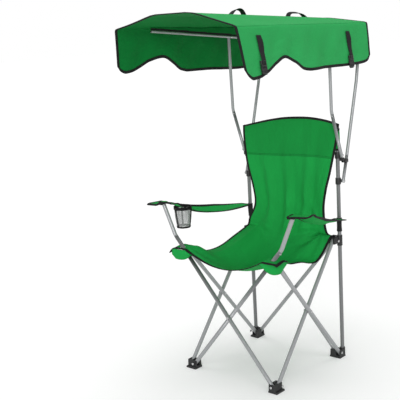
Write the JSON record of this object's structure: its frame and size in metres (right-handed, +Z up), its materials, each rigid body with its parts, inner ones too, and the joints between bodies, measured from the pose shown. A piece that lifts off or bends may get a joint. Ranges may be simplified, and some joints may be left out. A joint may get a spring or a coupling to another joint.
{
  "type": "folding camping chair with a canopy",
  "caption": "Quad-fold camping chair: crossed tube sides, green sling seat and back, arm strips with a net cup holder, and a swing-back sun canopy on the rear posts.",
  "frame": {"origin": "on the ground, under the centre of the opened chair's bounding box, between front and rear reach of the canopy", "axes": "+X to the sitter's left, -Y out of the front of the seat, +Z up"},
  "size_m": [0.7894, 0.8482, 1.4485],
  "materials": {
    "silver_tube": "satin grey coated tube",
    "black_plastic": "matte black moulding",
    "rivet_steel": "plain steel",
    "green_fabric": "woven green polyester",
    "black_webbing": "woven black webbing",
    "grey_mesh": "light grey net with a black band"
  },
  "bodies": {
    "rear_left_post": {"foot_rear_left": "black_plastic", "post_left": "silver_tube", "post_cap_left": "black_plastic", "bracket_upper_left": "black_plastic", "bracket_lower_left": "black_plastic", "canopy_clip_left": "black_plastic", "pivot_pin_upper_left": "rivet_steel", "pivot_pin_lower_left": "rivet_steel", "arm_strip_left": "green_fabric", "seat_back_sling": "green_fabric"},
    "rear_outer": {"tube_rear_outer": "silver_tube", "rivet_rear": "rivet_steel"},
    "rear_inner": {"tube_rear_inner": "silver_tube"},
    "slider_right": {"slider_rear_right": "black_plastic"},
    "slider_left": {"slider_rear_left": "black_plastic"},
    "rear_right_post": {"foot_rear_right": "black_plastic", "post_right": "silver_tube", "post_cap_right": "black_plastic", "bracket_upper_right": "black_plastic", "bracket_lower_right": "black_plastic", "canopy_clip_right": "black_plastic", "pivot_pin_upper_right": "rivet_steel", "pivot_pin_lower_right": "rivet_steel", "arm_strip_right": "green_fabric"},
    "left_inner": {"tube_left_inner": "silver_tube", "rivet_left": "rivet_steel"},
    "left_outer": {"tube_left_outer": "silver_tube"},
    "foot_left": {"foot_front_left": "black_plastic"},
    "hub_left": {"hub_front_left": "black_plastic", "cup_holder": "grey_mesh"},
    "right_outer": {"tube_right_outer": "silver_tube", "rivet_right": "rivet_steel"},
    "right_inner": {"tube_right_inner": "silver_tube"},
    "foot_right": {"foot_front_right": "black_plastic"},
    "hub_right": {"hub_front_right": "black_plastic"},
    "front_inner": {"tube_front_inner": "silver_tube", "arm_cap_right": "black_plastic", "rivet_front": "rivet_steel"},
    "front_outer": {"tube_front_outer": "silver_tube", "arm_cap_left": "black_plastic"},
    "front_pole_left": {"canopy_front_pole_left": "silver_tube"},
    "rail_left": {"canopy_rail_left": "silver_tube", "rail_rivet_front_left": "rivet_steel", "rail_sleeve_left": "black_webbing", "canopy_fabric": "green_fabric", "canopy_handle_front": "black_webbing", "canopy_handle_rear": "black_webbing"},
    "rear_pole_left": {"canopy_rear_pole_left": "silver_tube", "rail_rivet_rear_left": "rivet_steel"},
    "front_pole_right": {"canopy_front_pole_right": "silver_tube"},
    "rail_right": {"canopy_rail_right": "silver_tube", "rail_rivet_front_right": "rivet_steel", "rail_sleeve_right": "black_webbing", "canopy_strap_front": "black_webbing", "canopy_strap_rear": "black_webbing"},
    "rear_pole_right": {"canopy_rear_pole_right": "silver_tube", "rail_rivet_rear_right": "rivet_steel"}
  },
  "joints": [
    {"name": "frame_fold", "type": "hinge", "parent": "rear_left_post", "child": "rear_outer", "pos_m": [-0.204, 0.2545, 0.022], "axis": [0, -1, 0], "range_deg": [0, 34.2], "deforming": ["seat_back_sling", "arm_strip_left", "arm_strip_right", "canopy_fabric"]},
    {"name": "rear_crossing", "type": "hinge", "parent": "rear_outer", "child": "rear_inner", "pos_m": [0, 0.246, 0.262], "axis": [0, -1, 0], "range_deg": [-68.4, 0]},
    {"name": "slider_right_turn", "type": "hinge", "parent": "rear_outer", "child": "slider_right", "pos_m": [0.204, 0.2545, 0.502], "axis": [0, -1, 0], "range_deg": [-34.2, 0]},
    {"name": "foot_rear_right_turn", "type": "hinge", "parent": "rear_inner", "child": "rear_right_post", "pos_m": [0.204, 0.2375, 0.022], "axis": [0, -1, 0], "range_deg": [0, 34.2]},
    {"name": "slider_left_turn", "type": "hinge", "parent": "rear_inner", "child": "slider_left", "pos_m": [-0.204, 0.2375, 0.502], "axis": [0, -1, 0], "range_deg": [0, 34.2]},
    {"name": "left_foot_turn", "type": "hinge", "parent": "rear_left_post", "child": "left_inner", "pos_m": [-0.2115, 0.23, 0.022], "axis": [-1, 0, 0], "range_deg": [0, 34.2]},
    {"name": "left_crossing", "type": "hinge", "parent": "left_inner", "child": "left_outer", "pos_m": [-0.22, 0.026, 0.262], "axis": [-1, 0, 0], "range_deg": [-68.4, 0]},
    {"name": "foot_front_left_turn", "type": "hinge", "parent": "left_outer", "child": "foot_left", "pos_m": [-0.2285, -0.178, 0.022], "axis": [-1, 0, 0], "range_deg": [0, 34.2]},
    {"name": "hub_left_turn", "type": "hinge", "parent": "left_inner", "child": "hub_left", "pos_m": [-0.2115, -0.178, 0.502], "axis": [-1, 0, 0], "range_deg": [-34.2, 0]},
    {"name": "right_foot_turn", "type": "hinge", "parent": "rear_right_post", "child": "right_outer", "pos_m": [0.2285, 0.23, 0.022], "axis": [-1, 0, 0], "range_deg": [0, 34.2]},
    {"name": "right_crossing", "type": "hinge", "parent": "right_outer", "child": "right_inner", "pos_m": [0.22, 0.026, 0.262], "axis": [-1, 0, 0], "range_deg": [-68.4, 0]},
    {"name": "foot_front_right_turn", "type": "hinge", "parent": "right_inner", "child": "foot_right", "pos_m": [0.2115, -0.178, 0.022], "axis": [-1, 0, 0], "range_deg": [0, 34.2]},
    {"name": "hub_right_turn", "type": "hinge", "parent": "right_outer", "child": "hub_right", "pos_m": [0.2285, -0.178, 0.502], "axis": [-1, 0, 0], "range_deg": [-34.2, 0]},
    {"name": "front_left_foot_turn", "type": "hinge", "parent": "foot_left", "child": "front_inner", "pos_m": [-0.204, -0.1855, 0.022], "axis": [0, -1, 0], "range_deg": [0, 34.2]},
    {"name": "front_right_foot_turn", "type": "hinge", "parent": "foot_right", "child": "front_outer", "pos_m": [0.204, -0.2025, 0.022], "axis": [0, -1, 0], "range_deg": [-34.2, 0]},
    {"name": "canopy_tilt", "type": "hinge", "parent": "rear_left_post", "child": "front_pole_left", "pos_m": [-0.2469, 0.2545, 0.85], "axis": [-1, 0, 0], "range_deg": [0, 75]},
    {"name": "rail_turn_left", "type": "hinge", "parent": "front_pole_left", "child": "rail_left", "pos_m": [-0.235, 0.184, 1.3347], "axis": [-1, 0, 0], "range_deg": [-24.07, 0]},
    {"name": "rear_pole_turn_left", "type": "hinge", "parent": "rear_left_post", "child": "rear_pole_left", "pos_m": [-0.2469, 0.2625, 0.745], "axis": [-1, 0, 0], "range_deg": [0, 63.67]},
    {"name": "canopy_tilt_right", "type": "hinge", "parent": "rear_right_post", "child": "front_pole_right", "pos_m": [0.2469, 0.2545, 0.85], "axis": [-1, 0, 0], "range_deg": [0, 75]},
    {"name": "rail_turn_right", "type": "hinge", "parent": "front_pole_right", "child": "rail_right", "pos_m": [0.235, 0.184, 1.3347], "axis": [-1, 0, 0], "range_deg": [-24.07, 0]},
    {"name": "rear_pole_turn_right", "type": "hinge", "parent": "rear_right_post", "child": "rear_pole_right", "pos_m": [0.2469, 0.2625, 0.745], "axis": [-1, 0, 0], "range_deg": [0, 63.67]}
  ],
  "couplings": [
    {"joint": "rear_crossing", "follows": "frame_fold", "ratio": -2},
    {"joint": "slider_right_turn", "follows": "frame_fold", "ratio": -1},
    {"joint": "foot_rear_right_turn", "follows": "frame_fold", "ratio": 1},
    {"joint": "slider_left_turn", "follows": "frame_fold", "ratio": 1},
    {"joint": "left_foot_turn", "follows": "frame_fold", "ratio": 1},
    {"joint": "left_crossing", "follows": "frame_fold", "ratio": -2},
    {"joint": "foot_front_left_turn", "follows": "frame_fold", "ratio": 1},
    {"joint": "hub_left_turn", "follows": "frame_fold", "ratio": -1},
    {"joint": "right_foot_turn", "follows": "frame_fold", "ratio": 1},
    {"joint": "right_crossing", "follows": "frame_fold", "ratio": -2},
    {"joint": "foot_front_right_turn", "follows": "frame_fold", "ratio": 1},
    {"joint": "hub_right_turn", "follows": "frame_fold", "ratio": -1},
    {"joint": "front_left_foot_turn", "follows": "frame_fold", "ratio": 1},
    {"joint": "front_right_foot_turn", "follows": "frame_fold", "ratio": -1},
    {"joint": "rail_turn_left", "follows": "canopy_tilt", "ratio": -0.321},
    {"joint": "rear_pole_turn_left", "follows": "canopy_tilt", "ratio": 0.849},
    {"joint": "canopy_tilt_right", "follows": "canopy_tilt", "ratio": 1},
    {"joint": "rail_turn_right", "follows": "canopy_tilt", "ratio": -0.321},
    {"joint": "rear_pole_turn_right", "follows": "canopy_tilt", "ratio": 0.849}
  ]
}
